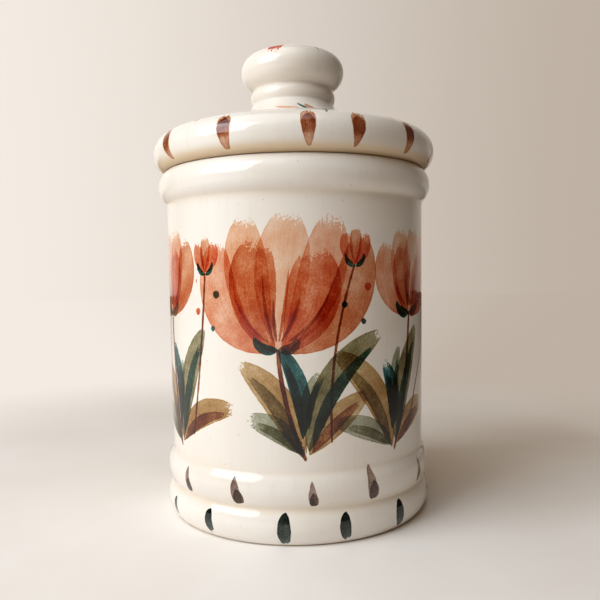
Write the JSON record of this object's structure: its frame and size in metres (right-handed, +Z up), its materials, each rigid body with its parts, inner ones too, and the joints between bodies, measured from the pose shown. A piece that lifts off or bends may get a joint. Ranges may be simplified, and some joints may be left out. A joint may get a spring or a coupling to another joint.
{
  "type": "lidded canister",
  "caption": "Straight-sided glazed stoneware canister with a rolled shoulder and beaded foot, and a lift-off domed lid with a ball knob and a silicone seal.",
  "frame": {"origin": "on the table, at the middle of the foot ring", "axes": "+Z up along the axis that every piece is turned about; +X to the right and +Y away, seen from the pictured side"},
  "size_m": [0.1224, 0.1224, 0.2005],
  "materials": {
    "glazed_stoneware": "glossy cream glaze",
    "silicone": "satin moulded silicone"
  },
  "bodies": {
    "jar": {"jar_body": "glazed_stoneware"},
    "seal": {"seal_ring": "silicone"},
    "lid": {"lid": "glazed_stoneware", "knob": "glazed_stoneware"}
  },
  "joints": [
    {"name": "lid_lift", "type": "slide", "parent": "jar", "child": "seal", "axis": [0, 0, 1], "range_m": [0, 0.12]},
    {"name": "lid_turn", "type": "hinge", "parent": "seal", "child": "lid", "pos_m": [0, 0, 0.146], "axis": [0, 0, 1], "continuous": true}
  ]
}
